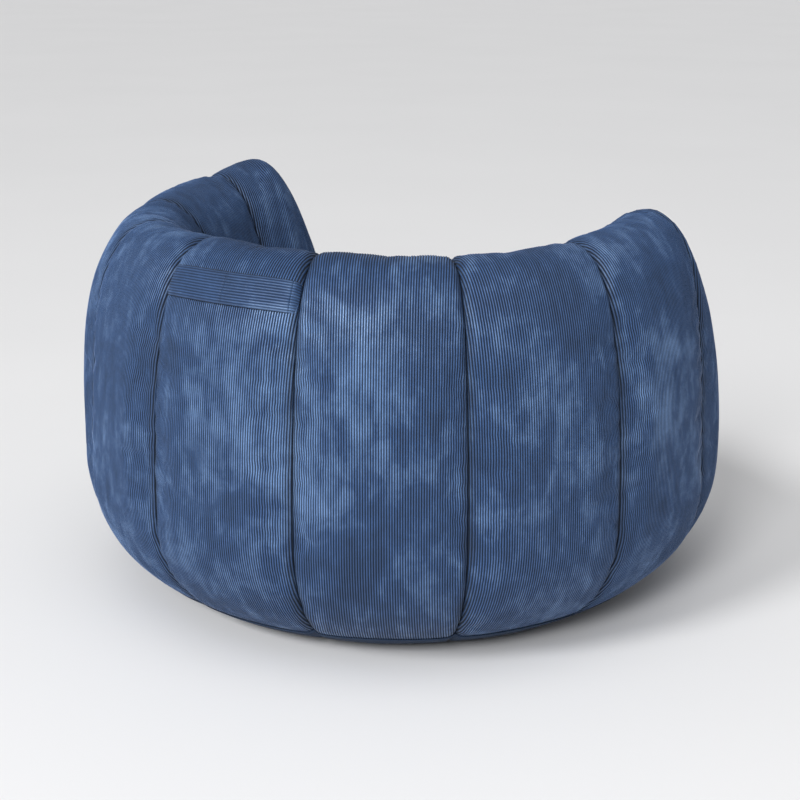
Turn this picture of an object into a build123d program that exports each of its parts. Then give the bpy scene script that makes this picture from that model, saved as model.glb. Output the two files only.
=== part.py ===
from build123d import *
import math
import os

# Channelled bean bag tub chair, in millimetres.
# +Z is up, the seat opens toward -Y, and the origin is under the middle of the chair on the floor.

# Overall form
PLAN_RADIUS = 430.0            # from the middle to the fullest point of a channel
BELLY_HEIGHT = 175.0           # height of that fullest point
RIM_RADIUS = 326.0             # top line of the back
RIM_SPREAD = 13.0              # how much further out the top line is at the front
BACK_HEIGHT = 504.0            # rim height at the middle of the back
ARM_RISE = 83.0                # how much higher the rim would be at the front, without the next two
SIDE_DIP = 33.0                # how much lower it is at the sides, so that it rises late, into the arms
FRONT_HEIGHT = 243.0           # top of the low front channels
ARM_REACH = 102.6              # degrees from the back at which an arm starts to drop
ARM_SLOPE = 28.8               # degrees over which it drops to the front height
LOWER_FULLNESS = 0.55          # how square the wall is below the belly, 0 to 1
UPPER_FULLNESS = 0.66          # the same above the belly
ROUND_FULLNESS = 0.55          # a round quarter, used on the inside of the rim

# Channels
CHANNELS = 13
HANDLE_TURN = 6.3              # degrees from the middle of the back to the middle of the handle channel
SEAM_TUCK = 11.0               # how far each seam is pulled in from the channel's crown
RIM_TUCK = 8.5                 # how far each seam is pulled down at the rim

# Seat well
WELL_RADIUS = 240.0
SEAT_HEIGHT = 205.0            # at the rim of the seat cushion
INNER_DROP = 263.0             # height over which the rim rounds down into the well
SEAT_CROWN = 14.0              # dome of the seat cushion
PANEL_TUCK = 34.0              # how far the channel panels run down beside the seat cushion

# Cloth and clearances
CLOTH = 3.0                    # corduroy with its backing
BAFFLE = 0.8                   # inner wall between two channels
FILL_GAP = 2.2                 # from the cloth to the bead pouch inside it
SEAT_GAP = 1.0                 # between the seat cushion and the channels around it
FOOT_FLAT = 4.0                # flat ring of each channel outside the well, which rests on the floor

# Base and its zipper, which runs from side to side
BASE_CLOTH = 2.5
BASE_SLOT = 14.0               # slot between the two base halves that shows the zipper
ZIP_LENGTH = 400.0
TAPE_WIDTH = 12.0
TAPE_THICK = 0.8
COIL_WIDTH = 2.2
COIL_HEIGHT = 2.0
COIL_GAP = 1.4                 # between the two coils, for the slider's bridge
STOP_LENGTH = 3.0
SLIDER_LENGTH = 12.0
SLIDER_PLATE = 1.2
SLIDER_LIP = 1.2               # lip outside each coil
SLIDER_CLEAR = 0.2
BRIDGE_WIDTH = 1.0
ZIP_RECESS = 5.0               # free space over the zipper, inside the bag

# Handle strap, sewn into both seams of the handle channel
STRAP_WIDTH = 36.0
STRAP_THICK = 4.0
STRAP_PLACE = 0.803            # share of the wall curve from belly to rim at the strap's middle
STRAP_CLEAR = 1.6              # from the channel's cloth
TACK_SPAN = 1.0                # degrees covered by each sewn end
TACK_INSET = 0.5               # degrees between a sewn end and its seam
TACK_GAP = 0.15                # degrees between a sewn end and the strap

PITCH = 360.0 / CHANNELS
HANDLE_ANGLE = 90.0 + HANDLE_TURN


def turn_from_back(angle):
    """Degrees from the middle of the back, the same on both sides."""
    return abs((angle - 90.0 + 180.0) % 360.0 - 180.0)


def rim_radius(angle):
    return RIM_RADIUS + RIM_SPREAD * (1.0 - math.cos(math.radians(turn_from_back(angle)))) / 2


def rim_height(angle):
    """Height of the rim at an angle round the chair: level back, rising arms, then the low front."""
    turn = turn_from_back(angle)
    rise = ARM_RISE * (1.0 - math.cos(math.radians(turn))) / 2
    dip = SIDE_DIP * (1.0 - math.cos(math.radians(2 * turn))) / 2
    high = BACK_HEIGHT + rise - dip
    share = min(max((ARM_REACH + ARM_SLOPE - turn) / ARM_SLOPE, 0.0), 1.0)
    return FRONT_HEIGHT + (high - FRONT_HEIGHT) * share * share * (3.0 - 2.0 * share)


def rim_within(middle, turn):
    """Rim height of a channel's loft, with turn going from -1 at its left seam to 1 at its right."""
    left = rim_height(middle - PITCH / 2)
    centre = rim_height(middle)
    right = rim_height(middle + PITCH / 2)
    return centre + (right - left) / 2 * turn + ((left + right) / 2 - centre) * turn ** 2


def wall_curves(angle, tuck, inset, high=None):
    """Outer wall, rim and inner wall of a channel at one angle, moved in by the inset."""
    radius = PLAN_RADIUS - SEAM_TUCK * tuck - inset
    high = rim_height(angle) if high is None else high
    top = high - RIM_TUCK * tuck - inset
    belly = BELLY_HEIGHT * min(1.0, top / (1.25 * BELLY_HEIGHT))
    foot = WELL_RADIUS + FOOT_FLAT + inset
    well = WELL_RADIUS + inset
    rim = rim_radius(angle)
    under = top - min(INNER_DROP, 0.9 * (top - SEAT_HEIGHT + CLOTH))
    lower = Bezier(
        (foot, inset),
        (foot + LOWER_FULLNESS * (radius - foot), inset),
        (radius, belly - LOWER_FULLNESS * (belly - inset)),
        (radius, belly),
    )
    upper = Bezier(
        (radius, belly),
        (radius, belly + UPPER_FULLNESS * (top - belly)),
        (rim + UPPER_FULLNESS * (radius - rim), top),
        (rim, top),
    )
    inner = Bezier(
        (rim, top),
        (rim - ROUND_FULLNESS * (rim - well), top),
        (well, under + ROUND_FULLNESS * (top - under)),
        (well, under),
    )
    return lower, upper, inner


def at_angle(sketch, angle):
    """Stand a sketch of radius and height up in the vertical plane at an angle."""
    x_way = Vector(math.cos(math.radians(angle)), math.sin(math.radians(angle)), 0)
    normal = Vector(math.sin(math.radians(angle)), -math.cos(math.radians(angle)), 0)
    return Plane(origin=(0, 0, 0), x_dir=x_way, z_dir=normal) * sketch


def panel_section(angle, tuck):
    """Cloth strip of one channel, from the base seam over the rim and down beside the seat."""
    lower, upper, inner = wall_curves(angle, tuck, 0.0)
    lower_in, upper_in, inner_in = wall_curves(angle, tuck, CLOTH)
    well = WELL_RADIUS
    hem = SEAT_HEIGHT - PANEL_TUCK
    edges = [
        Line((well, 0), lower @ 0), lower, upper, inner,
        Line(inner @ 1, (well, hem)), Line((well, hem), (well + CLOTH, hem)),
        Line((well + CLOTH, hem), inner_in @ 1), inner_in, upper_in, lower_in,
        Line(lower_in @ 0, (well, CLOTH)), Line((well, CLOTH), (well, 0)),
    ]
    return at_angle(make_face(edges), angle)


def fill_section(angle, tuck, inset, high=None):
    """Closed outline of what is inside a channel."""
    lower, upper, inner = wall_curves(angle, tuck, inset, high)
    well = WELL_RADIUS + inset
    edges = [
        lower, upper, inner,
        Line(inner @ 1, (well, inset)), Line((well, inset), lower @ 0),
    ]
    return at_angle(make_face(edges), angle)


def strap_section(angle, tuck):
    """Cross-section of the handle strap, lying flat along the wall a little off the cloth."""
    upper = wall_curves(angle, tuck, 0.0)[1]
    middle = upper @ STRAP_PLACE
    along = (upper % STRAP_PLACE) * (STRAP_WIDTH / 2)
    out = Vector(along.Y, -along.X, 0).normalized()
    under = middle + out * STRAP_CLEAR
    over = under + out * STRAP_THICK
    outline = Polyline(under - along, under + along, over + along, over - along, close=True)
    return at_angle(make_face(outline), angle)


def strap_between(start, end):
    """Strap from one angle to another, counted in degrees from the middle of the handle channel."""
    steps = 4
    turns = [start + (end - start) * step / steps for step in range(steps + 1)]
    tucks = [(2 * turn / PITCH) ** 2 for turn in turns]
    return loft([strap_section(HANDLE_ANGLE + turn, tuck) for turn, tuck in zip(turns, tucks)])


def save(shape, name):
    export_step(shape, "parts/" + name + ".step")


os.makedirs("parts", exist_ok=True)

# Channel panels, the baffles between them and the bead pouches inside them
for number in range(CHANNELS):
    middle = HANDLE_ANGLE + number * PITCH
    left = middle - PITCH / 2
    right = middle + PITCH / 2
    label = "%02d" % (number + 1)
    panel = loft([panel_section(left, 1.0), panel_section(middle, 0.0), panel_section(right, 1.0)])
    save(panel, "channel_panel_" + label)
    wall = fill_section(left, 1.0, CLOTH + 0.5 * FILL_GAP)
    save(extrude(wall, amount=BAFFLE / 2, both=True), "baffle_" + label)
    side = math.degrees((BAFFLE / 2 + FILL_GAP) / WELL_RADIUS)
    inset = CLOTH + FILL_GAP
    reach = 1 - side / (PITCH / 2)
    pouch = loft([
        fill_section(left + side, reach ** 2, inset, rim_within(middle, -reach)),
        fill_section(middle, 0.0, inset),
        fill_section(right - side, reach ** 2, inset, rim_within(middle, reach)),
    ])
    save(pouch, "bead_pouch_" + label)

# Seat cushion in the well: its bead pouch, with a channel underneath that clears the zipper, and its cover
seat_radius = WELL_RADIUS - SEAT_GAP
seat_hem = SEAT_HEIGHT - PANEL_TUCK


def seat_dome(inset):
    """Solid of the seat cushion from its hem up, domed on top, moved in by the inset."""
    radius = seat_radius - inset
    edge = SEAT_HEIGHT - 2 * SEAT_CROWN
    top = SEAT_HEIGHT + SEAT_CROWN - inset
    crown = Bezier((radius, edge), (radius, SEAT_HEIGHT), (radius * 0.7, top), (0, top))
    sides = [
        Line((0, seat_hem), (radius, seat_hem)), Line((radius, seat_hem), (radius, edge)),
        crown, Line((0, top), (0, seat_hem)),
    ]
    return revolve(Plane.XZ * make_face(sides), Axis.Z)


save(seat_dome(0.0) - seat_dome(CLOTH), "seat_cover")
pouch_low = BASE_CLOTH + TAPE_THICK + SLIDER_CLEAR
pouch_body = Pos(0, 0, pouch_low) * Cylinder(
    seat_radius - CLOTH - FILL_GAP, seat_hem - pouch_low, align=(Align.CENTER, Align.CENTER, Align.MIN)
)
slider_wide = 2 * (COIL_WIDTH + SLIDER_LIP + 2 * SLIDER_CLEAR) + COIL_GAP
recess_high = BASE_CLOTH + COIL_HEIGHT + SLIDER_PLATE + ZIP_RECESS
recess = Box(
    ZIP_LENGTH + 2 * STOP_LENGTH + 20, slider_wide + 6, recess_high,
    align=(Align.CENTER, Align.CENTER, Align.MIN),
)
save(pouch_body + seat_dome(CLOTH + FILL_GAP) - recess, "seat_pouch")

# Base: two cloth halves with the zipper's slot between them
base_disc = Cylinder(
    WELL_RADIUS - SEAT_GAP, BASE_CLOTH, align=(Align.CENTER, Align.CENTER, Align.MIN)
)
slot_half = Box(
    2 * WELL_RADIUS, WELL_RADIUS, BASE_CLOTH, align=(Align.CENTER, Align.MIN, Align.MIN)
)
save(base_disc & Pos(0, BASE_SLOT / 2, 0) * slot_half, "base_panel_back")
save(base_disc & Pos(0, -BASE_SLOT / 2, 0) * mirror(slot_half, Plane.XZ), "base_panel_front")

# Zipper, named from front to back: tapes on the base cloth, coils on their edges, stops at the ends
coil_out = COIL_GAP / 2 + COIL_WIDTH
coil_middle = BASE_CLOTH + TAPE_THICK / 2
for side, place in ((-1, "front"), (1, "back")):
    tape = Box(ZIP_LENGTH + 2 * STOP_LENGTH, TAPE_WIDTH, TAPE_THICK)
    save(Pos(0, side * (coil_out + TAPE_WIDTH / 2), coil_middle) * tape, "zipper_tape_" + place)
    coil = Box(ZIP_LENGTH, COIL_WIDTH, COIL_HEIGHT)
    save(Pos(0, side * (COIL_GAP + COIL_WIDTH) / 2, coil_middle) * coil, "zipper_coil_" + place)
stop = Box(STOP_LENGTH, 2 * coil_out, COIL_HEIGHT)
stop_x = (ZIP_LENGTH + STOP_LENGTH) / 2
save(
    Compound(children=[Pos(-stop_x, 0, coil_middle) * stop, Pos(stop_x, 0, coil_middle) * stop]),
    "zipper_stops",
)

# Slider at the closed end: two plates joined by a bridge between the coils, with lips outside them
half_high = COIL_HEIGHT / 2 + SLIDER_CLEAR
half_wide = slider_wide / 2
plate = Box(SLIDER_LENGTH, slider_wide, SLIDER_PLATE)
slider = Box(SLIDER_LENGTH / 3, BRIDGE_WIDTH, 2 * half_high)
lip_high = half_high - TAPE_THICK / 2 - SLIDER_CLEAR
lip = Box(SLIDER_LENGTH, SLIDER_LIP, lip_high)
for way in (-1, 1):
    slider += Pos(0, 0, way * (half_high + SLIDER_PLATE / 2)) * plate
    for side in (-1, 1):
        lip_y = side * (half_wide - SLIDER_LIP / 2)
        slider += Pos(0, lip_y, way * (half_high - lip_high / 2)) * lip
slider_x = (ZIP_LENGTH - SLIDER_LENGTH) / 2
save(Pos(slider_x, 0, coil_middle) * slider, "zipper_slider")

# Handle strap and its two sewn ends
seam_turn = PITCH / 2 - TACK_INSET
tack_turn = seam_turn - TACK_SPAN
strap_turn = tack_turn - TACK_GAP
save(strap_between(-strap_turn, strap_turn), "handle_strap")
save(strap_between(-seam_turn, -tack_turn), "handle_tack_left")
save(strap_between(tack_turn, seam_turn), "handle_tack_right")
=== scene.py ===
import bmesh
import bpy
import math
import numpy as np
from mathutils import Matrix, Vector, noise


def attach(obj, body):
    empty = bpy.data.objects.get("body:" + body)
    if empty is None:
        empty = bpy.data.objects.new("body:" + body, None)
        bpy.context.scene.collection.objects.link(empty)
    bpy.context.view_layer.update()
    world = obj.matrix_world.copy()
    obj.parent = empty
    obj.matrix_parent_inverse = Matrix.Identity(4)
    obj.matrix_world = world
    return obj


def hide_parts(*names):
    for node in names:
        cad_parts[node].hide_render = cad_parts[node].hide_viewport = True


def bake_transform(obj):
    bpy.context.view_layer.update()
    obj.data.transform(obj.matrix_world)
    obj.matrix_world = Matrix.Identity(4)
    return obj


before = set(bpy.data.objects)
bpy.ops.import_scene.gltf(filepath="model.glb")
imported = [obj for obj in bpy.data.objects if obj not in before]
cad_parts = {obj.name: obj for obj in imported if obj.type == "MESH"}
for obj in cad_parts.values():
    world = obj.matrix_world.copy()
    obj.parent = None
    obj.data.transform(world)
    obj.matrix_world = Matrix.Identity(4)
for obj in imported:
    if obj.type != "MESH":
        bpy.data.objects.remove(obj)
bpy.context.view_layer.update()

# ---------------------------------------------------------------------------------------------
# Corduroy. Mid blue cotton corduroy of about 8 ribs an inch with a crushed, brushed pile: rounded ribs with
# painted shade in the furrows between them and a painted highlight on their crests, clouds and strokes where
# the pile lies one way or the other, one pale painted highlight on the upper wall, and painted shade beside the
# seams.
WALE = 0.0030
RIB_HEIGHT = 0.0010
PILE_DEEP = (0.0088, 0.030, 0.086)
PILE_MID = (0.0165, 0.048, 0.130)
PILE_PALE = (0.076, 0.140, 0.275)
PAINTED_HIGHLIGHT_AT = (-0.142, 0.387, 0.34)     # the middle of a painted highlight, a pale and glossier patch of pile on the upper wall
PILE_SHEEN = (0.70, 0.80, 1.0, 1)


def add(tree, kind, **values):
    """A node of a kind, with its settings and its sockets' values."""
    made = tree.nodes.new("ShaderNode" + kind)
    for key, value in values.items():
        if key in made.inputs:
            made.inputs[key].default_value = value
        else:
            setattr(made, key, value)
    return made


def sums(tree, operation, first, second=None, clamp=False):
    """A math node on one or two values, each a socket or a number."""
    made = add(tree, "Math", operation=operation, use_clamp=clamp)
    for place, value in enumerate((first, second)):
        if hasattr(value, "links"):
            tree.links.new(value, made.inputs[place])
        elif value is not None:
            made.inputs[place].default_value = value
    return made.outputs[0]


def ramp(tree, factor, stops):
    """A colour ramp on a factor, with its stops as (place, colour or grey level)."""
    made = add(tree, "ValToRGB")
    bar = made.color_ramp.elements
    while len(bar) < len(stops):
        bar.new(0.5)
    for element, (place, colour) in zip(bar, stops):
        element.position = place
        colour = (colour,) * 3 if isinstance(colour, (int, float)) else tuple(colour)[:3]
        element.color = colour + (1,)
    tree.links.new(factor, made.inputs["Fac"])
    return made.outputs["Color"]


def times(tree, first, second):
    """Two colours multiplied."""
    made = add(tree, "Mix", data_type="RGBA", blend_type="MULTIPLY")
    made.inputs[0].default_value = 1.0
    tree.links.new(first, made.inputs[6])
    tree.links.new(second, made.inputs[7])
    return made.outputs[2]


def scaled(tree, first, second, first_scale, second_scale):
    """A place on the cloth map, stretched to a pattern's size each way."""
    made = add(tree, "CombineXYZ")
    tree.links.new(sums(tree, "MULTIPLY", first, first_scale), made.inputs[0])
    tree.links.new(sums(tree, "MULTIPLY", second, second_scale), made.inputs[1])
    return made.outputs[0]


def speckle(tree, vector, scale, detail, rough, twist=0.0):
    made = add(tree, "TexNoise", Scale=scale, Detail=detail, Roughness=rough, Distortion=twist)
    tree.links.new(vector, made.inputs["Vector"])
    return made.outputs[0]


def blank(name):
    """A new material with its node tree and its shader."""
    material = bpy.data.materials.new(name)
    material.use_nodes = True
    return material, material.node_tree, material.node_tree.nodes["Principled BSDF"]


def corduroy(name, furrow_shade=0.05, crest_shade=1.7):
    """Corduroy whose ribs run along the cloth map's second direction."""
    material, tree, shader = blank(name)
    split = add(tree, "SeparateXYZ")
    tree.links.new(add(tree, "UVMap", uv_map="cloth").outputs[0], split.inputs[0])
    across, along = split.outputs[0], split.outputs[1]
    place = add(tree, "TexCoord").outputs["Object"]

    rib = sums(tree, "ABSOLUTE", sums(tree, "SINE", sums(tree, "MULTIPLY", across, math.pi / WALE)))
    clouds = speckle(tree, place, 9.0, 5.0, 0.62, 0.6)
    patches = speckle(tree, place, 34.0, 3.0, 0.6, 0.4)
    strokes = speckle(tree, scaled(tree, across, along, 62.0, 19.0), 1.0, 3.0, 0.55, 0.5)
    fibre = speckle(tree, scaled(tree, across, along, 1500.0, 420.0), 1.0, 2.0, 0.55)
    pile_lay_and_highlight = sums(tree, "ADD", sums(tree, "MULTIPLY", clouds, 0.45), sums(tree, "MULTIPLY", patches, 0.25))
    pile_lay_and_highlight = sums(tree, "ADD", pile_lay_and_highlight, sums(tree, "MULTIPLY", strokes, 0.30))
    # Painted highlight: round one point of the upper wall, where the softbox's highlight falls, the pile is made
    # paler and glossier; this is added to its clouds and strokes.
    near = add(tree, "VectorMath", operation="DISTANCE")
    near.inputs[1].default_value = PAINTED_HIGHLIGHT_AT
    tree.links.new(place, near.inputs[0])
    painted_highlight = ramp(tree, near.outputs["Value"], [(0.03, 0.105), (0.09, 0.070), (0.19, 0.0)])
    pile_lay_and_highlight = sums(tree, "ADD", pile_lay_and_highlight, painted_highlight)

    tone = ramp(tree, pile_lay_and_highlight, [(0.38, PILE_DEEP), (0.50, PILE_MID), (0.65, PILE_PALE)])
    # Painted shade and highlight on the ribs: the colour darkens down into each furrow and grows lighter on each
    # crest.
    painted_rib_shade = ramp(tree, rib, [(0.05, furrow_shade), (0.45, 0.5 * (furrow_shade + 0.75)),
                              (0.80, 1.05), (1.0, crest_shade)])
    flecks = ramp(tree, fibre, [(0.3, 0.80), (0.7, 1.18)])
    # Painted shade beside the seams: the colour darkens within 12 mm of a seam, to a quarter at the seam itself.
    seam = add(tree, "Attribute", attribute_name="from_seam")
    painted_seam_shade = ramp(tree, sums(tree, "DIVIDE", seam.outputs["Fac"], 0.012), [(0.0, 0.25), (0.25, 0.62), (1.0, 1.0)])
    colour = times(tree, times(tree, times(tree, tone, painted_rib_shade), flecks), painted_seam_shade)
    tree.links.new(colour, shader.inputs["Base Color"])

    gloss = sums(tree, "MULTIPLY", sums(tree, "POWER", rib, 3.0), ramp(tree, pile_lay_and_highlight, [(0.40, 0.42), (0.60, 0.68)]))
    tree.links.new(sums(tree, "SUBTRACT", 0.96, gloss, clamp=True), shader.inputs["Roughness"])
    shader.inputs["Specular IOR Level"].default_value = 0.65
    shader.inputs["Specular Tint"].default_value = (0.80, 0.90, 1.0, 1)
    shader.inputs["Sheen Weight"].default_value = 0.04
    shader.inputs["Sheen Roughness"].default_value = 0.40
    shader.inputs["Sheen Tint"].default_value = PILE_SHEEN

    relief = sums(tree, "ADD", sums(tree, "MULTIPLY", rib, 0.7), sums(tree, "MULTIPLY", fibre, 0.3))
    bump = add(tree, "Bump", Strength=0.8, Distance=0.0008)
    tree.links.new(relief, bump.inputs["Height"])
    tree.links.new(bump.outputs[0], shader.inputs["Normal"])
    return material


PANEL_CLOTH = corduroy("crushed_blue_corduroy")


# ---------------------------------------------------------------------------------------------
# Channels. Thirteen long pillows stand side by side round the seat, each one a strip of corduroy
# over its bead pouch, sewn to its neighbours from the base over the rim and down to the seat.
CHANNELS = 13
PITCH = 2 * math.pi / CHANNELS
HANDLE_ANGLE = math.radians(90.0 + 6.3)
PLAN_RADIUS = 0.430
BELLY_HEIGHT = 0.175
RIM_RADIUS = 0.326
RIM_SPREAD = 0.013
BACK_HEIGHT = 0.504
ARM_RISE = 0.083
SIDE_DIP = 0.033
FRONT_HEIGHT = 0.243
ARM_REACH = math.radians(102.6)
ARM_SLOPE = math.radians(28.8)
LOWER_FULLNESS = 0.55
UPPER_FULLNESS = 0.66
WELL_RADIUS = 0.240
SEAT_HEIGHT = 0.205
INNER_DROP = 0.263
FOOT_FLAT = 0.004
WALL_PUFF = 0.0095             # how far a channel's crown stands out from its seams on the wall
RIM_PUFF = 0.0085              # the same at the rim
WELL_PUFF = 0.008              # the same inside the well
SEAM_DEPTH = 0.0038            # how far the thread pulls the cloth in at a seam
PUCKER = 0.0038                # the cloth gathers a little beside its stitches
HEM_RADIUS = 0.357             # where the corduroy goes under the base cloth
ACROSS = 24                    # cells across a channel while the cloth is filled
ALONG = 150                    # cells along it
SWELL_END = 0.86               # share of the way along from which the seat keeps the cloth in place
CHANNEL_LOW = 0.0014           # the channels rest on the base cloth, which lies on the floor


def turn_from_back(angle):
    return abs((angle - math.pi / 2 + math.pi) % (2 * math.pi) - math.pi)


def rim_height(angle):
    """Height of the rim at an angle: level back, rising late into the arms, low at the front."""
    turn = turn_from_back(angle)
    high = BACK_HEIGHT + ARM_RISE * (1 - math.cos(turn)) / 2 - SIDE_DIP * (1 - math.cos(2 * turn)) / 2
    share = min(max((ARM_REACH + ARM_SLOPE - turn) / ARM_SLOPE, 0.0), 1.0)
    return FRONT_HEIGHT + (high - FRONT_HEIGHT) * share * share * (3.0 - 2.0 * share)


def quarter(start, first, second, end, steps=24):
    """Points along a cubic curve."""
    t = np.linspace(0, 1, steps)[:, None]
    points = [np.array(p) for p in (start, first, second, end)]
    weights = ((1 - t) ** 3, 3 * t * (1 - t) ** 2, 3 * t * t * (1 - t), t ** 3)
    return sum(w * p for w, p in zip(weights, points))


def seam_curves(angle):
    """Radius and height along a seam: lower wall, upper wall, and rim down into the well."""
    radius = PLAN_RADIUS - WALL_PUFF
    top = rim_height(angle) - RIM_PUFF
    belly = BELLY_HEIGHT * min(1.0, top / (1.25 * BELLY_HEIGHT))
    foot = WELL_RADIUS + FOOT_FLAT
    rim = RIM_RADIUS + RIM_SPREAD * (1 - math.cos(turn_from_back(angle))) / 2
    under = top - min(INNER_DROP, 0.9 * (top - SEAT_HEIGHT + 0.003))
    low, high = LOWER_FULLNESS, UPPER_FULLNESS
    lower = quarter((foot, 0), (foot + low * (radius - foot), 0), (radius, belly * (1 - low)), (radius, belly))
    upper = quarter((radius, belly), (radius, belly + high * (top - belly)),
                    (rim + high * (radius - rim), top), (rim, top))
    inner = quarter((rim, top), (rim - 0.55 * (rim - WELL_RADIUS), top),
                    (WELL_RADIUS, under + 0.55 * (top - under)), (WELL_RADIUS, under))
    return lower, upper, inner


def seam_path(angle):
    """The whole seam, from the base up the wall, over the rim, into the well and back to the base."""
    lower, upper, inner = seam_curves(angle)
    back = np.array([(WELL_RADIUS, z) for z in np.linspace(inner[-1, 1], 0, 12)])
    return np.concatenate([[(WELL_RADIUS, 0)], lower, upper[1:], inner[1:], back[1:]])


def run_along(path):
    """Distance from the start at each point of a path."""
    return np.concatenate([[0], np.cumsum(np.linalg.norm(np.diff(path, axis=0), axis=1))])


def spaced(path, count):
    """The same path as equally spaced points."""
    run = run_along(path)
    marks = np.linspace(0, run[-1], count)
    return np.stack([np.interp(marks, run, path[:, k]) for k in range(path.shape[1])], axis=1)


def smooth_step(value):
    value = np.clip(value, 0, 1)
    return value * value * (3 - 2 * value)


def puffed(path, angle, puff):
    """A seam path pushed out along its own normal, less on the floor and beside the seat cushion."""
    slope = np.gradient(path, axis=0)
    slope /= np.linalg.norm(slope, axis=1)[:, None] + 1e-9
    normal = np.stack([slope[:, 1], -slope[:, 0]], axis=1)
    outward = smooth_step((path[:, 0] - RIM_RADIUS + 0.06) / 0.10)
    height = path[:, 1]
    wall = WALL_PUFF * smooth_step(height / 0.09)
    inside = WELL_PUFF * smooth_step((height - SEAT_HEIGHT - 0.004) / 0.07)
    rim = np.abs(normal[:, 1])
    size = wall * outward + inside * (1 - outward)
    size = size * (1 - rim) + RIM_PUFF * rim * smooth_step(height / 0.15)
    size = np.where(height < 0.02, size * height / 0.02, size)
    place = path + normal * (size * puff)[:, None]
    cosine, sine = math.cos(angle), math.sin(angle)
    return np.stack([place[:, 0] * cosine, place[:, 0] * sine, place[:, 1]], axis=1)


def channel_sheet(number):
    """Rows of points for one channel before it is filled: (rows, columns, 3)."""
    middle = HANDLE_ANGLE + number * PITCH
    columns = []
    for u in np.linspace(-1, 1, ACROSS + 1):
        angle = middle + u * PITCH / 2
        path = spaced(seam_path(angle), ALONG + 1)
        columns.append(puffed(path, angle, 0.70 * math.sqrt(max(0.0, 1 - abs(u) ** 5))))
    return np.stack(columns, axis=1)


def new_piece(name, bm, *materials):
    """A finished mesh as an object, with its materials."""
    mesh = bpy.data.meshes.new(name)
    bm.to_mesh(mesh)
    bm.free()
    made = bpy.data.objects.new(name, mesh)
    bpy.context.scene.collection.objects.link(made)
    for material in materials:
        mesh.materials.append(material)
    return made


def grid_object(name, points):
    """A sheet of cells through rows of points."""
    bm = bmesh.new()
    rows, columns = points.shape[0] - 1, points.shape[1] - 1
    bmesh.ops.create_grid(bm, x_segments=columns, y_segments=rows, size=1.0)
    for vert, place in zip(bm.verts, points.reshape(-1, 3)):
        vert.co = place
    return new_piece(name, bm)


def outward_of(points):
    """Normals of a sheet given as rows of points."""
    normal = np.cross(np.gradient(points, axis=1), np.gradient(points, axis=0))
    return normal / (np.linalg.norm(normal, axis=2, keepdims=True) + 1e-12)


def fill_with_beads(sheets, held, pressure, cap, frames=20):
    """Cloth simulation: the sheets swell under their beads, held along their seams, then stay so.
    Returns the filled sheets as rows of points."""
    scene = bpy.context.scene
    scene.frame_start, scene.frame_end = 1, frames
    made = []
    for points in sheets:
        cloth_object = grid_object("filling", points)
        group = cloth_object.vertex_groups.new(name="sewn")
        group.add([int(i) for i in np.nonzero(held.reshape(-1))[0]], 1.0, "REPLACE")
        cloth = cloth_object.modifiers.new("beads", "CLOTH")
        cloth.settings.quality = 5
        cloth.settings.mass = 0.35
        cloth.settings.tension_stiffness = 22
        cloth.settings.compression_stiffness = 12
        cloth.settings.shear_stiffness = 8
        cloth.settings.bending_stiffness = 0.6
        cloth.settings.air_damping = 4
        cloth.settings.use_pressure = True
        cloth.settings.uniform_pressure_force = pressure
        cloth.settings.shrink_min = -0.014
        cloth.settings.vertex_group_mass = "sewn"
        cloth.settings.effector_weights.gravity = 0
        cloth.collision_settings.use_collision = False
        cloth.point_cache.frame_start, cloth.point_cache.frame_end = 1, frames
        made.append(cloth_object)
    for number in range(1, frames + 1):
        scene.frame_set(number)
    graph = bpy.context.evaluated_depsgraph_get()
    found = []
    for cloth_object, points in zip(made, sheets):
        shape = cloth_object.evaluated_get(graph).to_mesh()
        flat = np.empty(len(shape.vertices) * 3, np.float32)
        shape.vertices.foreach_get("co", flat)
        moved = flat.reshape(points.shape).astype(float) - points
        cloth_object.evaluated_get(graph).to_mesh_clear()
        out = outward_of(points)
        swell = np.clip((moved * out).sum(axis=2, keepdims=True), -cap, cap)
        found.append(points + out * swell)
    for cloth_object in made:
        mesh = cloth_object.data
        bpy.data.objects.remove(cloth_object)
        bpy.data.meshes.remove(mesh)
    scene.frame_set(1)
    return found


def between(values, marks, wanted):
    """Smooth curve through values at marks, read at the wanted places (Catmull-Rom)."""
    place = np.clip(np.searchsorted(marks, wanted) - 1, 0, len(marks) - 2)
    t = ((wanted - marks[place]) / np.maximum(marks[place + 1] - marks[place], 1e-9))[:, None]
    last = len(marks) - 1
    a, b = values[np.maximum(place - 1, 0)], values[place]
    c, d = values[np.minimum(place + 1, last)], values[np.minimum(place + 2, last)]
    return 0.5 * (2 * b + (c - a) * t + (2 * a - 5 * b + 4 * c - d) * t ** 2
                  + (3 * b - a - 3 * c + d) * t ** 3)


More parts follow.
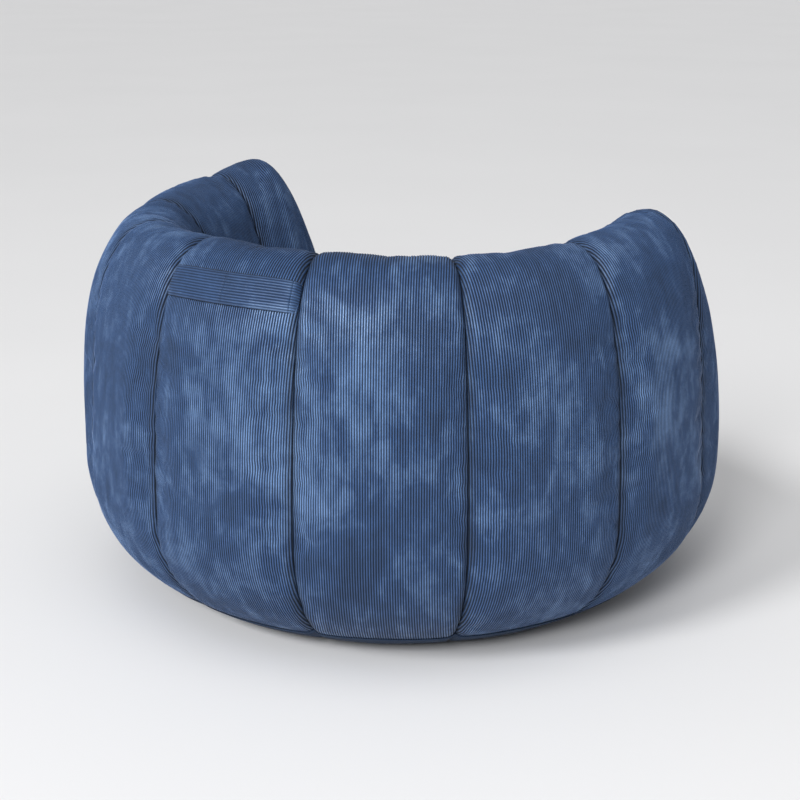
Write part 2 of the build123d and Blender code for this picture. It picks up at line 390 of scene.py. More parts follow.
def cloth_piece(name, points, cloth, from_seam, material, lowest=None):
    """A closed piece from rows of points, with its cloth map in metres and distances to its seam."""
    rows, columns = points.shape[0] - 1, points.shape[1] - 1
    bm = bmesh.new()
    bmesh.ops.create_grid(bm, x_segments=columns, y_segments=rows, size=1.0, calc_uvs=False)
    layer = bm.loops.layers.uv.new("cloth")
    seam = bm.verts.layers.float.new("from_seam")
    if lowest is not None:
        points[:, :, 2] = np.maximum(points[:, :, 2], lowest)
    for vert, place, distance in zip(bm.verts, points.reshape(-1, 3), from_seam.reshape(-1)):
        vert.co = place
        vert[seam] = distance
    flat_cloth = cloth.reshape(-1, 2)
    for face in bm.faces:
        face.smooth = True
        for loop in face.loops:
            loop[layer].uv = flat_cloth[loop.vert.index]
    bmesh.ops.remove_doubles(bm, verts=bm.verts, dist=0.00002)
    bmesh.ops.dissolve_degenerate(bm, dist=0.00001, edges=bm.edges)
    ends = bmesh.ops.holes_fill(bm, edges=[edge for edge in bm.edges if edge.is_boundary], sides=0)
    for face in ends["faces"]:
        face.smooth = False
    bmesh.ops.recalc_face_normals(bm, faces=bm.faces)
    return new_piece(name, bm, material)


def inward_along(line, outward):
    """Directions into the bag along a seam, in the upright plane the seam lies in."""
    slope = np.gradient(line, axis=0)
    middle = line[len(line) // 3]
    side = np.array([-middle[1], middle[0], 0.0]) / math.hypot(middle[0], middle[1])
    way = np.cross(slope, side)
    way /= np.linalg.norm(way, axis=1, keepdims=True) + 1e-12
    return -way * np.sign((way * outward).sum(axis=1, keepdims=True))


def ribbed(points, strip, per_wale=4):
    """Corduroy over a filled sheet: ribs in the mesh, parallel to the middle of the strip as it is cut,
    and cut off where the strip narrows to its seams. The part under the base cloth has no pile."""
    rows = points.shape[0] - 1
    middle = points.shape[1] // 2
    steps = np.linalg.norm(np.diff(strip, axis=1), axis=2)
    run = np.concatenate([np.zeros((rows + 1, 1)), np.cumsum(steps, axis=1)], axis=1)
    run -= run[:, middle:middle + 1]
    widest = max(-run[:, 0].min(), run[:, -1].max())
    half = int(math.ceil(widest / WALE * per_wale))
    lines = np.arange(-half, half + 1) * WALE / per_wale
    fine = np.empty((rows + 1, len(lines), 3))
    cloth = np.empty((rows + 1, len(lines), 2))
    from_seam = np.empty((rows + 1, len(lines)))
    down = run_along(points[:, middle])
    normal = outward_of(points)
    puckers = np.array([[noise.noise(Vector((d * 48, 9 * side, points[5, 5, 0] * 50))) for d in down]
                        for side in (0, 1)])
    groove = [inward_along(points[:, edge], normal[:, edge]) for edge in (0, -1)]
    hem = down[np.argmax(np.hypot(strip[:, middle, 0], strip[:, middle, 1]) > HEM_RADIUS)]
    for row in range(rows + 1):
        pile = smooth_step((down[row] - hem + 0.004) / 0.006)
        wanted = np.clip(lines, run[row, 0], run[row, -1])
        lean = np.stack([np.interp(wanted, run[row], normal[row, :, k]) for k in range(3)], axis=1)
        edge = np.minimum(wanted - run[row, 0], run[row, -1] - wanted)
        height = RIB_HEIGHT * np.abs(np.sin(np.pi * wanted / WALE)) ** 0.55 * smooth_step(edge / 0.003)
        at_seam = np.where(wanted < 0, puckers[0, row], puckers[1, row])
        height += PUCKER * at_seam * np.exp(-edge / 0.014) * (1 - np.exp(-edge / 0.004))
        depth = SEAM_DEPTH * np.exp(-edge / 0.0018)[:, None]
        sunk = np.where(wanted[:, None] < 0, groove[0][row], groove[1][row]) * depth
        fine[row] = between(points[row], run[row], wanted) + (lean * height[:, None] + sunk) * pile
        cloth[row, :, 0] = wanted
        cloth[row, :, 1] = down[row]
        from_seam[row] = edge
    return fine, cloth, from_seam


held = np.zeros((ALONG + 1, ACROSS + 1), bool)
held[:, 0] = held[:, -1] = True
held[:2] = held[int(ALONG * SWELL_END):] = True
strips, sheets = [], []
for number in range(CHANNELS):
    start = channel_sheet(number)
    strips.append(start)
    uneven = np.array([[noise.noise(Vector(p) * 7 + Vector((0, 0, 3))) for p in row] for row in start])
    ease = (1 - np.linspace(-1, 1, ACROSS + 1) ** 4)[None, :, None]
    low = smooth_step(start[:, :, 2:] / 0.10)
    sheets.append(start + outward_of(start) * uneven[:, :, None] * 0.004 * ease * low)
filled = fill_with_beads(sheets, held, pressure=2.2, cap=0.004)
for number, shape in enumerate(filled):
    label = "%02d" % (number + 1)
    fine, cloth, from_seam = ribbed(shape, strips[number])
    channel = cloth_piece("channel_" + label, fine, cloth, from_seam, PANEL_CLOTH, lowest=CHANNEL_LOW)
    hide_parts("channel_panel_" + label)
    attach(channel, "bag")

# ---------------------------------------------------------------------------------------------
# Bead pouches. Inside each channel lies a soft liner bag of polystyrene beads, a little smaller
# than the corduroy strip over it, so the cover can come off and be washed.
POUCH_INSET = 0.0085


def liner_cloth():
    """White non-woven cloth: a grid of small bonded dots in pressed fibres."""
    material, tree, shader = blank("liner_non_woven")
    place = add(tree, "TexCoord").outputs["Object"]
    cells = add(tree, "TexVoronoi", Scale=420.0, Randomness=0.25)
    tree.links.new(place, cells.inputs["Vector"])
    fibres = speckle(tree, place, 260.0, 4.0, 0.6, 1.5)
    tone = ramp(tree, fibres, [(0.3, (0.60, 0.60, 0.58)), (0.7, (0.80, 0.80, 0.78))])
    dots = ramp(tree, cells.outputs["Distance"], [(0.12, 0.82), (0.3, 1.0)])
    tree.links.new(times(tree, tone, dots), shader.inputs["Base Color"])
    shader.inputs["Roughness"].default_value = 0.85
    bump = add(tree, "Bump", Strength=0.5, Distance=0.0003)
    tree.links.new(cells.outputs["Distance"], bump.inputs["Height"])
    tree.links.new(bump.outputs[0], shader.inputs["Normal"])
    return material


LINER = liner_cloth()


def liner_piece(name, points):
    """A closed liner piece through rows of points."""
    bm = bmesh.new()
    bmesh.ops.create_grid(bm, x_segments=points.shape[1] - 1, y_segments=points.shape[0] - 1, size=1.0)
    for vert, place in zip(bm.verts, points.reshape(-1, 3)):
        vert.co = place
    bmesh.ops.remove_doubles(bm, verts=bm.verts, dist=0.0002)
    bmesh.ops.dissolve_degenerate(bm, dist=0.0001, edges=bm.edges)
    bmesh.ops.holes_fill(bm, edges=[edge for edge in bm.edges if edge.is_boundary], sides=0)
    bmesh.ops.recalc_face_normals(bm, faces=bm.faces)
    for face in bm.faces:
        face.smooth = len(face.verts) == 4
    return new_piece(name, bm, LINER)


for number, shape in enumerate(filled):
    label = "%02d" % (number + 1)
    inner = shape - outward_of(shape) * POUCH_INSET
    inner[:, :, 2] = np.maximum(inner[:, :, 2], 0.004)
    middle = inner[:, ACROSS // 2]
    narrow = inner[:, 1:-1].copy()
    narrow[:, 0] += (middle - narrow[:, 0]) * 0.04
    narrow[:, -1] += (middle - narrow[:, -1]) * 0.04
    pouch = liner_piece("bead_bag_" + label, narrow[::3, ::2])
    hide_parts("bead_pouch_" + label)
    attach(pouch, "bag")

# ---------------------------------------------------------------------------------------------
# Inner walls. A flat wall of the same liner cloth stands in every seam between two channels and
# keeps each channel's beads to itself.
WALL_INSET = 0.0055
WALL_CLOTH = 0.0008

for number in range(CHANNELS):
    label = "%02d" % (number + 1)
    angle = HANDLE_ANGLE + (number - 0.5) * PITCH
    path = spaced(seam_path(angle), 91)[:-1]
    centre = path.mean(axis=0)
    slope = np.gradient(path, axis=0)
    slope /= np.linalg.norm(slope, axis=1)[:, None] + 1e-9
    path = path - np.stack([slope[:, 1], -slope[:, 0]], axis=1) * WALL_INSET
    path[:, 0] = np.maximum(path[:, 0], WELL_RADIUS + WALL_INSET)
    path[:, 1] = np.maximum(path[:, 1], WALL_INSET)
    bm = bmesh.new()
    bmesh.ops.create_circle(bm, cap_ends=True, radius=1.0, segments=len(path))
    for vert, (radius, height) in zip(bm.verts, path):
        vert.co = (radius * math.cos(angle), radius * math.sin(angle), height)
    bmesh.ops.remove_doubles(bm, verts=bm.verts, dist=0.0005)
    flat_area = sum(face.calc_area() for face in bm.faces)
    bmesh.ops.solidify(bm, geom=list(bm.faces), thickness=WALL_CLOTH)
    bmesh.ops.recalc_face_normals(bm, faces=bm.faces)
    wall = new_piece("inner_wall_" + label, bm, LINER)
    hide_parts("baffle_" + label)
    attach(wall, "bag")

# ---------------------------------------------------------------------------------------------
# Seat cushion. A round bead bag fills the well, under a corduroy cover whose ribs run from front
# to back. The cover is domed and is sewn down all round, beside the channels.
SEAT_RADIUS = WELL_RADIUS - 0.001
SEAT_CROWN = 0.014
SEAT_CELLS = 48
SEAT_ROWS = 110

crown_curve = quarter((SEAT_RADIUS, SEAT_HEIGHT - 2 * SEAT_CROWN), (SEAT_RADIUS, SEAT_HEIGHT),
                      (SEAT_RADIUS * 0.7, SEAT_HEIGHT + SEAT_CROWN), (0, SEAT_HEIGHT + SEAT_CROWN), 200)


def seat_height_at(radius):
    return np.interp(radius, crown_curve[::-1, 0], crown_curve[::-1, 1])


steps = np.linspace(-1, 1, SEAT_CELLS + 1)
side_way, depth_way = np.meshgrid(steps, steps)
disc_x = side_way * np.sqrt(1 - depth_way ** 2 / 2)
disc_y = depth_way * np.sqrt(1 - side_way ** 2 / 2)
reach = np.minimum(np.hypot(disc_x, disc_y), 1.0)
seat_start = np.stack([disc_x * SEAT_RADIUS * 0.995, disc_y * SEAT_RADIUS * 0.995,
                       seat_height_at(reach * SEAT_RADIUS * 0.985) - 0.004], axis=-1)
dents = np.array([[noise.noise(Vector(p) * 9) for p in row] for row in seat_start])
seat_start[:, :, 2] += dents * 0.004 * (1 - reach ** 4)
sewn = np.zeros(seat_start.shape[:2], bool)
sewn[0] = sewn[-1] = sewn[:, 0] = sewn[:, -1] = True
seat_filled = fill_with_beads([seat_start], sewn, pressure=2.0, cap=0.008)[0]


def seat_surface(x, y):
    """Height of the filled seat over a place, from the cell of the sheet that lies under it."""
    x, y = x / (SEAT_RADIUS * 0.995), y / (SEAT_RADIUS * 0.995)
    root = 2 * math.sqrt(2)
    across = x * x - y * y
    u = 0.5 * np.sqrt(np.maximum(2 + across + root * x, 0)) - 0.5 * np.sqrt(np.maximum(2 + across - root * x, 0))
    v = 0.5 * np.sqrt(np.maximum(2 - across + root * y, 0)) - 0.5 * np.sqrt(np.maximum(2 - across - root * y, 0))
    column = (np.clip(u, -1, 1) + 1) / 2 * SEAT_CELLS
    row = (np.clip(v, -1, 1) + 1) / 2 * SEAT_CELLS
    left, low = np.minimum(column.astype(int), SEAT_CELLS - 1), np.minimum(row.astype(int), SEAT_CELLS - 1)
    a, b = column - left, row - low
    height = seat_filled[:, :, 2]
    return ((height[low, left] * (1 - a) + height[low, left + 1] * a) * (1 - b)
            + (height[low + 1, left] * (1 - a) + height[low + 1, left + 1] * a) * b)


turn = np.linspace(-math.pi / 2, math.pi / 2, SEAT_ROWS + 1)
rows_y = np.sin(turn) * SEAT_RADIUS
lines = np.arange(-int(SEAT_RADIUS / WALE * 4) - 1, int(SEAT_RADIUS / WALE * 4) + 2) * WALE / 4
fine = np.empty((SEAT_ROWS + 1, len(lines), 3))
cloth = np.empty((SEAT_ROWS + 1, len(lines), 2))
from_seam = np.empty((SEAT_ROWS + 1, len(lines)))
for row, y in enumerate(rows_y):
    half = math.sqrt(max(SEAT_RADIUS ** 2 - y * y, 0.0))
    x = np.clip(lines, -half, half)
    edge = SEAT_RADIUS - np.hypot(x, y)
    rib = RIB_HEIGHT * np.abs(np.sin(np.pi * x / WALE)) ** 0.8 * smooth_step(edge / 0.004)
    fine[row] = np.stack([x, np.full_like(x, y), seat_surface(x, np.full_like(x, y)) + rib], axis=1)
    cloth[row] = np.stack([x, np.full_like(x, y)], axis=1)
    from_seam[row] = np.maximum(edge, 0)
# from_seam holds each point's distance to the cover's sewn rim, where its material paints shade.
seat_cover = cloth_piece("seat_cushion_cover", fine, cloth, from_seam, PANEL_CLOTH)
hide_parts("seat_cover")
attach(seat_cover, "bag")

SEAT_BAG = [(0.0, 0.012), (0.130, 0.012), (0.215, 0.014), (0.229, 0.022), (0.2335, 0.050), (0.2345, 0.100),
            (0.2335, 0.150), (0.226, 0.168), (0.200, 0.1735), (0.0, 0.1745)]
bm = bmesh.new()
profile = [bm.verts.new((radius, 0, height)) for radius, height in SEAT_BAG]
edges = [bm.edges.new(pair) for pair in zip(profile, profile[1:])]
bmesh.ops.spin(bm, geom=profile + edges, cent=(0, 0, 0), axis=(0, 0, 1), angle=2 * math.pi, steps=72,
               use_merge=True)
bmesh.ops.remove_doubles(bm, verts=bm.verts, dist=0.0002)
for vert in bm.verts:
    lump = noise.noise(vert.co * 14) * 0.004 * smooth_step(vert.co.z / 0.02)
    around = Vector((vert.co.x, vert.co.y, 0))
    if around.length > 0.2:
        vert.co -= around.normalized() * abs(lump)
bmesh.ops.recalc_face_normals(bm, faces=bm.faces)
for face in bm.faces:
    face.smooth = True
seat_bag = new_piece("seat_bead_bag", bm, LINER)
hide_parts("seat_pouch")
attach(seat_bag, "bag")

# ---------------------------------------------------------------------------------------------
# Base. Two halves of plain woven polyester close the round bottom of the chair, each turned under
# in a hem along the zipper and stitched down with two rows of thread. A skirt of the same cloth goes
# on from them up to the hem of the corduroy, a little above the floor.
BASE_RADIUS = WELL_RADIUS - 0.001
BASE_LOW = 0.0004
BASE_THICK = 0.0016
SLOT_HALF = 0.007
HEM = 0.014
STITCH = 0.0036


def base_weave():
    """Dark blue plain weave: one thread over, one under, with uneven yarns."""
    material, tree, shader = blank("base_polyester_weave")
    place = add(tree, "TexCoord").outputs["Object"]
    split = add(tree, "SeparateXYZ")
    tree.links.new(place, split.inputs[0])
    warp = sums(tree, "SINE", sums(tree, "MULTIPLY", split.outputs[0], 2 * math.pi / 0.0011))
    weft = sums(tree, "SINE", sums(tree, "MULTIPLY", split.outputs[1], 2 * math.pi / 0.0011))
    weave = sums(tree, "ADD", sums(tree, "MULTIPLY", sums(tree, "MULTIPLY", warp, weft), 0.5), 0.5)
    yarn = speckle(tree, place, 900.0, 2.0, 0.5)
    stain = speckle(tree, place, 12.0, 4.0, 0.6)
    tone = ramp(tree, yarn, [(0.3, (0.016, 0.030, 0.062)), (0.7, (0.032, 0.056, 0.108))])
    shade = times(tree, ramp(tree, weave, [(0.0, 0.55), (1.0, 1.15)]), ramp(tree, stain, [(0.3, 0.85), (0.7, 1.12)]))
    tree.links.new(times(tree, tone, shade), shader.inputs["Base Color"])
    shader.inputs["Roughness"].default_value = 0.78
    shader.inputs["Specular IOR Level"].default_value = 0.2
    bump = add(tree, "Bump", Strength=0.6, Distance=0.0003)
    tree.links.new(weave, bump.inputs["Height"])
    tree.links.new(bump.outputs[0], shader.inputs["Normal"])
    return material


def thread_finish():
    """Twisted polyester sewing thread."""
    material, tree, shader = blank("sewing_thread")
    place = add(tree, "TexCoord").outputs["Object"]
    twist = add(tree, "TexWave", Scale=900.0, Distortion=1.0)
    twist.bands_direction = "DIAGONAL"
    tree.links.new(place, twist.inputs["Vector"])
    tone = ramp(tree, twist.outputs[0], [(0.0, (0.020, 0.035, 0.075)), (1.0, (0.055, 0.085, 0.155))])
    tree.links.new(tone, shader.inputs["Base Color"])
    shader.inputs["Roughness"].default_value = 0.5
    return material


BASE_CLOTH = base_weave()
THREAD = thread_finish()


def stitch_row(bm, start, end, normal, length=STITCH, gap=0.0012, thick=0.00045):
    """A row of stitches, each a short fat thread that dips into the cloth at both ends."""
    start, end, normal = Vector(start), Vector(end), Vector(normal)
    along = (end - start).normalized()
    side = along.cross(normal)
    count = int((end - start).length / (length + gap))
    for number in range(count):
        first = start + along * number * (length + gap)
        rings = []
        for share, lift, wide in ((0.0, -0.4, 0.5), (0.25, 0.6, 1.0), (0.75, 0.6, 1.0), (1.0, -0.4, 0.5)):
            centre = first + along * share * length + normal * lift * thick
            rings.append([bm.verts.new(centre + (side * math.cos(a) + normal * math.sin(a)) * thick * wide)
                          for a in (0, math.pi / 2, math.pi, 3 * math.pi / 2)])
        for ring, after in zip(rings, rings[1:]):
            for k in range(4):
                bm.faces.new((ring[k], ring[(k + 1) % 4], after[(k + 1) % 4], after[k]))
        bm.faces.new(rings[0][::-1])
        bm.faces.new(rings[-1])


def half_chord(y):
    return math.sqrt(BASE_RADIUS ** 2 - y * y)


for side, place in ((1, "back"), (-1, "front")):
    bm = bmesh.new()
    bmesh.ops.create_circle(bm, cap_ends=True, radius=BASE_RADIUS, segments=128)
    for line, clear in ((SLOT_HALF, True), (SLOT_HALF + HEM, False)):
        bmesh.ops.bisect_plane(bm, geom=bm.verts[:] + bm.edges[:] + bm.faces[:], plane_co=(0, side * line, 0),
                               plane_no=(0, side, 0), clear_inner=clear)
    bmesh.ops.solidify(bm, geom=bm.faces[:], thickness=BASE_THICK)
    bmesh.ops.recalc_face_normals(bm, faces=bm.faces)
    lowest = min(vert.co.z for vert in bm.verts)
    bmesh.ops.translate(bm, verts=bm.verts, vec=(0, 0, BASE_LOW - lowest))
    hem_faces = [face for face in bm.faces if abs(face.normal.z) > 0.9
                 and abs(face.calc_center_median().y) < SLOT_HALF + HEM]
    for face in hem_faces:
        for vert in face.verts:
            if abs(vert.co.y) < SLOT_HALF + HEM - 0.001 and face.normal.z > 0:
                vert.co.z += 0.0003
    edges = [edge for edge in bm.edges if len(edge.link_faces) == 2 and edge.calc_face_angle() > 1.0]
    bmesh.ops.bevel(bm, geom=edges, offset=0.0004, segments=2, affect="EDGES", profile=0.5, material=-1)
    for face in bm.faces:
        face.smooth = abs(face.normal.z) < 0.9
    base = new_piece("base_cloth_" + place, bm, BASE_CLOTH)
    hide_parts("base_panel_" + place)
    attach(base, "bag")
    bm = bmesh.new()
    for line in (SLOT_HALF + 0.003, SLOT_HALF + HEM - 0.002):
        reach_x = half_chord(line) - 0.006
        stitch_row(bm, (-reach_x, side * line, BASE_LOW), (reach_x, side * line, BASE_LOW), (0, 0, -1))
    bmesh.ops.recalc_face_normals(bm, faces=bm.faces)
    bmesh.ops.translate(bm, verts=bm.verts, vec=(0, 0, 0.0005))
    stitches = new_piece("base_stitches_" + place, bm, THREAD)
    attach(stitches, "bag")

SKIRT_ROWS = 16
SKIRT_NEAR, SKIRT_FAR = 0.0008, 0.0016     # the skirt's two faces, outside the channels' cloth
SKIRT_LOW = 0.0002


def skirt_lines():
    """Lines from the foot of the channels up to the hem, all round, and their outward directions."""
    lines, leans = [], []
    lowest_rows = slice(0, 70)
    normals = [outward_of(shape) for shape in filled]
    for number, shape in enumerate(filled):
        for column in range(ACROSS):
            lean = normals[number][lowest_rows, column]
            if column == 0:
                lean = lean + normals[number - 1][lowest_rows, ACROSS]
            line = shape[lowest_rows, column]
            radius = np.maximum.accumulate(np.hypot(line[:, 0], line[:, 1]))
            run = run_along(line)
            start, end = np.interp((BASE_RADIUS + 0.002, HEM_RADIUS), radius, run)
            marks = np.linspace(start, end, SKIRT_ROWS)
            lines.append([[np.interp(mark, run, line[:, k]) for k in range(3)] for mark in marks])
            leans.append([[np.interp(mark, run, lean[:, k]) for k in range(3)] for mark in marks])
    lines, leans = np.array(lines), np.array(leans)
    return lines, leans / np.linalg.norm(leans, axis=2, keepdims=True)


lines, leans = skirt_lines()
under, over = lines + leans * SKIRT_FAR, lines + leans * SKIRT_NEAR
under[:, :, 2] = np.maximum(under[:, :, 2], SKIRT_LOW)
over[:, :, 2] = np.maximum(over[:, :, 2], SKIRT_LOW + 0.0010)
loops = np.concatenate([under, over[:, ::-1], under[:, :1]], axis=1)
loops = np.concatenate([loops, loops[:1]], axis=0)
skirt = cloth_piece("base_skirt", loops, loops[:, :, :2], np.full(loops.shape[:2], 0.02), BASE_CLOTH)
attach(skirt, "bag")

# ---------------------------------------------------------------------------------------------
# Zipper. A coil zipper runs from side to side under the chair, for filling the bag. Its tapes lie
# on the hems; it has metal stops at both ends and a slider without a pull, so children can't open it.
ZIP_HALF = 0.203
TAPE_NEAR, TAPE_FAR = 0.0029, 0.0149
TAPE_LOW, TAPE_THICK = 0.0025, 0.0008
COIL_LENGTH = 0.400
COIL_PLACE, COIL_MIDDLE = 0.0018, 0.0029
COIL_TURN = 0.0014
COIL_WIRE = 0.0003


def tape_weave():
    """Herringbone tape: slanting ribs that change direction every few threads."""
    material, tree, shader = blank("zipper_herringbone")
    place = add(tree, "TexCoord").outputs["Object"]
    split = add(tree, "SeparateXYZ")
    tree.links.new(place, split.inputs[0])
    zigzag = sums(tree, "PINGPONG", split.outputs[1], 0.0015)
    slant = sums(tree, "ADD", split.outputs[0], zigzag)
    ribs = sums(tree, "SINE", sums(tree, "MULTIPLY", slant, 2 * math.pi / 0.0009))
    level = sums(tree, "ADD", sums(tree, "MULTIPLY", ribs, 0.5), 0.5)
    yarn = speckle(tree, place, 1100.0, 2.0, 0.5)
    tone = ramp(tree, yarn, [(0.3, (0.012, 0.022, 0.045)), (0.7, (0.026, 0.044, 0.085))])
    tree.links.new(times(tree, tone, ramp(tree, level, [(0.0, 0.5), (1.0, 1.2)])), shader.inputs["Base Color"])
    shader.inputs["Roughness"].default_value = 0.7
    bump = add(tree, "Bump", Strength=0.6, Distance=0.0003)
    tree.links.new(level, bump.inputs["Height"])
    tree.links.new(bump.outputs[0], shader.inputs["Normal"])
    return material


def nylon():
    material, tree, shader = blank("zipper_nylon")
    place = add(tree, "TexCoord").outputs["Object"]
    grain = speckle(tree, place, 300.0, 2.0, 0.5)
    tone = ramp(tree, grain, [(0.3, (0.010, 0.018, 0.038)), (0.7, (0.018, 0.030, 0.06))])
    tree.links.new(tone, shader.inputs["Base Color"])
    shader.inputs["Roughness"].default_value = 0.35
    return material


def enamelled_zinc():
    """Dark enamel on cast zinc, rubbed through to bare metal in small places."""
    material, tree, shader = blank("enamelled_zinc")
    place = add(tree, "TexCoord").outputs["Object"]
    worn = ramp(tree, speckle(tree, place, 650.0, 5.0, 0.7), [(0.60, 0.0), (0.68, 1.0)])
    grain = speckle(tree, place, 1800.0, 2.0, 0.5)
    paint = ramp(tree, grain, [(0.3, (0.016, 0.024, 0.042)), (0.7, (0.028, 0.040, 0.066))])
    mixed = add(tree, "Mix", data_type="RGBA")
    tree.links.new(worn, mixed.inputs[0])
    tree.links.new(paint, mixed.inputs[6])
    mixed.inputs[7].default_value = (0.34, 0.34, 0.35, 1)
    tree.links.new(mixed.outputs[2], shader.inputs["Base Color"])
    tree.links.new(worn, shader.inputs["Metallic"])
    rough = ramp(tree, grain, [(0.2, 0.30), (0.8, 0.45)])
    tree.links.new(rough, shader.inputs["Roughness"])
    return material


TAPE_CLOTH = tape_weave()
NYLON = nylon()
ZINC = enamelled_zinc()

for side, place in ((-1, "front"), (1, "back")):
    bm = bmesh.new()
    bmesh.ops.create_grid(bm, x_segments=120, y_segments=6, size=1.0)
    for vert in bm.verts:
        x = vert.co.x * ZIP_HALF
        share = (vert.co.y + 1) / 2
        wave = 0.00012 * math.sin(x * 90) * share
        vert.co = (x, side * (TAPE_NEAR + (TAPE_FAR - TAPE_NEAR) * share), TAPE_LOW + 0.00015 + wave)
    bmesh.ops.recalc_face_normals(bm, faces=bm.faces)
    bmesh.ops.solidify(bm, geom=bm.faces[:], thickness=TAPE_THICK * 0.75)
    lowest = min(vert.co.z for vert in bm.verts)
    bmesh.ops.translate(bm, verts=bm.verts, vec=(0, 0, TAPE_LOW - lowest))
    bmesh.ops.recalc_face_normals(bm, faces=bm.faces)
    tape = new_piece("zipper_tape_cloth_" + place, bm, TAPE_CLOTH)
    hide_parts("zipper_tape_" + place)
    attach(tape, "bag")

    bm = bmesh.new()
    turns = int(COIL_LENGTH / COIL_TURN)
    ring_before = None
    for step in range(turns * 8 + 1):
        a = side * step * math.pi / 4
        x = -COIL_LENGTH / 2 + 0.0005 + step * (COIL_LENGTH - 0.001) / (turns * 8)
        out = Vector((0, math.cos(a), math.sin(a)))
        centre = Vector((x, side * COIL_PLACE + 0.00078 * out.y, COIL_MIDDLE + 0.00068 * out.z))
        ring = [bm.verts.new(centre + (out * math.cos(b) + Vector((1, 0, 0)) * math.sin(b)) * COIL_WIRE)
                for b in (0.4, 0.4 + math.pi / 2, 0.4 + math.pi, 0.4 + 1.5 * math.pi)]
        if ring_before:
            for k in range(4):
                face = bm.faces.new((ring_before[k], ring_before[(k + 1) % 4], ring[(k + 1) % 4], ring[k]))
                face.smooth = True
        else:
            bm.faces.new(ring)
        ring_before = ring
    bm.faces.new(ring_before[::-1])
    bmesh.ops.recalc_face_normals(bm, faces=bm.faces)
    coil = new_piece("zipper_teeth_" + place, bm, NYLON)
    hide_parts("zipper_coil_" + place)
    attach(coil, "bag")

for node in ("zipper_stops", "zipper_slider"):
    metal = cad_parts[node]
    metal = metal if hasattr(metal, "data") else bpy.data.objects[metal]
    metal.data.materials.clear()
    metal.data.materials.append(ZINC)

# ---------------------------------------------------------------------------------------------
# Handle strap. A flat folded tube of the same corduroy, its ribs along it, lies across the handle
# channel under the rim. Both its ends are sewn into the channel's seams, so on the real chair its middle can be
# lifted;
# here it is built lying on the channel.
STRAP_WIDTH = 0.036
STRAP_PLACE = 0.803
STRAP_THICK = 0.0026
STRAP_RIB = 0.0005             # its pile is pressed flatter than the panels'
STRAP_END = 0.886              # where the free strap ends, as a share of the way to the seam
SEWN_END = 0.990               # where its sewn end meets the seam
STRAP_CELLS = 40
SEWN_CELLS = 8
STRAP_GAP = 0.0008             # between the strap and the cloth under it
STRAP_ARCH = 0.0012            # how much wider that gap is in the middle
STRAP_SINK = 0.0035            # how far a sewn end goes down into its seam
STRAP_CLOTH = corduroy("pressed_blue_corduroy", furrow_shade=0.38, crest_shade=1.25)
strap_cloth = filled[0]
strap_outward = outward_of(strap_cloth)


def strap_row(u):
    """Where the strap's middle lies along the handle channel: a row of its sheet, and rows in a metre."""
    angle = HANDLE_ANGLE + u * PITCH / 2
    lower, upper, _ = seam_curves(angle)
    whole = run_along(seam_path(angle))[-1]
    middle = FOOT_FLAT + run_along(lower)[-1] + STRAP_PLACE * run_along(upper)[-1]
    return middle / whole * ALONG, ALONG / whole


def read_sheet(sheet, row, column):
    """A sheet's value between its points."""
    low, left = int(min(row, ALONG - 1)), int(min(column, ACROSS - 1))
    a, b = row - low, column - left
    return ((sheet[low, left] * (1 - b) + sheet[low, left + 1] * b) * (1 - a)
            + (sheet[low + 1, left] * (1 - b) + sheet[low + 1, left + 1] * b) * a)


def strap_line(u, places, heights):
    """Points across the strap's width, each at its height over the channel's cloth."""
    row, per_metre = strap_row(u)
    column = (u + 1) / 2 * ACROSS
    line = []
    for place, height in zip(places, heights):
        out = read_sheet(strap_outward, row + place * per_metre, column)
        line.append(read_sheet(strap_cloth, row + place * per_metre, column) + out / np.linalg.norm(out) * height)
    return line


def strap_piece(name, first, last, lift, cells):
    """Part of the strap from one place across the channel to another, closed all round."""
    ribs = int(round(STRAP_WIDTH / WALE)) * 4
    top = np.linspace(-1, 1, ribs + 1)
    under = np.linspace(1, -1, 9)
    rolled_top, rolled_under = 1 - np.abs(top) ** 8, 1 - np.abs(under) ** 8
    rib = STRAP_RIB * np.abs(np.sin(np.pi * (top + 1) / 2 * STRAP_WIDTH / WALE)) ** 0.55 * rolled_top
    upper = STRAP_THICK * (0.5 + 0.5 * rolled_top) + rib
    lower = STRAP_THICK * (0.5 - 0.5 * rolled_under)
    places = np.concatenate([top, under * 0.985, top[:1]]) * STRAP_WIDTH / 2
    heights = np.concatenate([upper, lower, upper[:1]])
    spots = np.linspace(first, last, cells + 1)
    rows = np.array([strap_line(u, places, heights + lift(u)) for u in spots])
    for _ in range(4):
        rows[1:-1] = (rows[:-2] + 2 * rows[1:-1] + rows[2:]) / 4
    centres = rows[:, ribs // 2]
    along = run_along(centres)
    maps = np.stack([np.tile(places, (cells + 1, 1)), np.tile(along[:, None], (1, len(places)))], axis=2)
    # Painted shade along the strap's two edges: their seam distances are made small, so the material darkens the
    # colour there.
    edge = np.clip((STRAP_WIDTH / 2 - np.abs(places)) / 0.003, 0, 1)
    made = cloth_piece(name, rows, maps, np.tile(0.004 + 0.008 * edge, (cells + 1, 1)), STRAP_CLOTH)
    return made, (Vector(centres[0]), Vector(centres[-1]))


def free_lift(u):
    """Gap between the strap and the channel's cloth at a place across."""
    return STRAP_GAP + STRAP_ARCH * (1 - u * u)


def sewn_lift(u):
    """The sewn end starts at the free strap's height and goes down into the seam."""
    share = (abs(u) - STRAP_END) / (SEWN_END - STRAP_END)
    return free_lift(STRAP_END) - STRAP_SINK * share ** 2


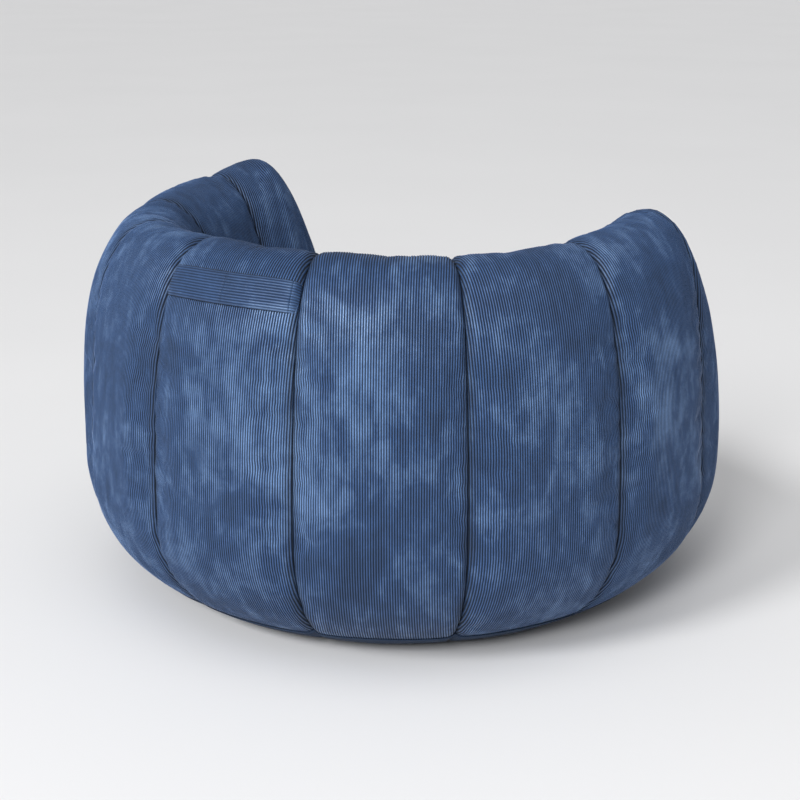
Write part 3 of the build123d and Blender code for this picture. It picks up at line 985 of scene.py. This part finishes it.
for side, label in ((-1, "left"), (1, "right")):
    half, (sewn_end, middle_end) = strap_piece("handle_strap_" + label, side * STRAP_END, 0.0, free_lift,
                                               STRAP_CELLS)
    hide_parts("handle_strap")
    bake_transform(half)
    end_piece, _ = strap_piece("handle_end_" + label, side * SEWN_END, side * STRAP_END, sewn_lift,
                               SEWN_CELLS)
    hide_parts("handle_tack_" + label)
    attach(end_piece, "bag")

# ---------------------------------------------------------------------------------------------
# Floor and light. A plain pale studio floor, with a soft sun and a large soft light from the left of
# the viewing side, a weak wide sun from above, and even light all round.
CAMERA_TURN = math.radians(180.0 + 31.1 + 6.3)
FACING = Vector((math.sin(CAMERA_TURN), -math.cos(CAMERA_TURN), 0))
RIGHTWARD = Vector((-FACING.y, FACING.x, 0))


def floor_paint():
    material, tree, shader = blank("studio_floor")
    place = add(tree, "TexCoord").outputs["Object"]
    tone = ramp(tree, speckle(tree, place, 1.2, 2.0, 0.5), [(0.2, (0.80, 0.80, 0.805)), (0.8, (0.82, 0.82, 0.825))])
    tree.links.new(tone, shader.inputs["Base Color"])
    shader.inputs["Roughness"].default_value = 0.7
    shader.inputs["Specular IOR Level"].default_value = 0.1
    return material


bm = bmesh.new()
bmesh.ops.create_grid(bm, x_segments=1, y_segments=1, size=60.0)
floor = new_piece("floor", bm, floor_paint())


def towards(turn, height):
    """A direction, from degrees to the right of the viewing side and degrees above the floor."""
    turn, height = math.radians(turn), math.radians(height)
    way = (FACING * math.cos(turn) + RIGHTWARD * math.sin(turn)) * math.cos(height)
    way.z = math.sin(height)
    return way


def add_light(name, kind, turn, height, power, size, colour=(1, 1, 1), distance=3.0):
    lamp = bpy.data.lights.new(name, kind)
    lamp.energy = power
    lamp.color = colour
    if kind == "SUN":
        lamp.angle = math.radians(size)
    else:
        lamp.shape = "SQUARE"
        lamp.size = size
    lit = bpy.data.objects.new(name, lamp)
    bpy.context.scene.collection.objects.link(lit)
    way = towards(turn, height)
    lit.location = way * distance + Vector((0, 0, 0.25))
    lit.rotation_mode = "QUATERNION"
    lit.rotation_quaternion = way.to_track_quat("Z", "Y")


add_light("sun", "SUN", -50, 34, 1.65, 16)
add_light("overhead", "SUN", 5, 74, 0.55, 50)
add_light("softbox", "AREA", -18, 28, 190, 1.5, distance=6.0)
world = bpy.data.worlds.new("studio")
bpy.context.scene.world = world
world.use_nodes = True
world.node_tree.nodes["Background"].inputs[0].default_value = (0.99, 0.99, 1.0, 1)
world.node_tree.nodes["Background"].inputs[1].default_value = 0.37

# ---------------------------------------------------------------------------------------------
# Camera. A long lens a little above the rim, behind the chair and to the sitter's right, aimed at the
# chair's axis, half its radius above the floor.
CAMERA_HEIGHT = math.radians(17.1)
CAMERA_DISTANCE = 5.062 * PLAN_RADIUS
AIM = Vector((0, 0, 0.5 * PLAN_RADIUS))
camera_data = bpy.data.cameras.new("camera")
camera_data.sensor_width = 36.0
camera_data.lens = 36.0 * 1568.764 / 800
camera_data.shift_x = -1.4 / 800
camera_data.shift_y = 9.1 / 800
camera = bpy.data.objects.new("camera", camera_data)
bpy.context.scene.collection.objects.link(camera)
back = FACING * math.cos(CAMERA_HEIGHT)
back.z = math.sin(CAMERA_HEIGHT)
camera.location = AIM + back * CAMERA_DISTANCE
camera.rotation_mode = "QUATERNION"
camera.rotation_quaternion = back.to_track_quat("Z", "Y")
bpy.context.scene.camera = camera
bpy.context.scene.view_settings.view_transform = "Standard"
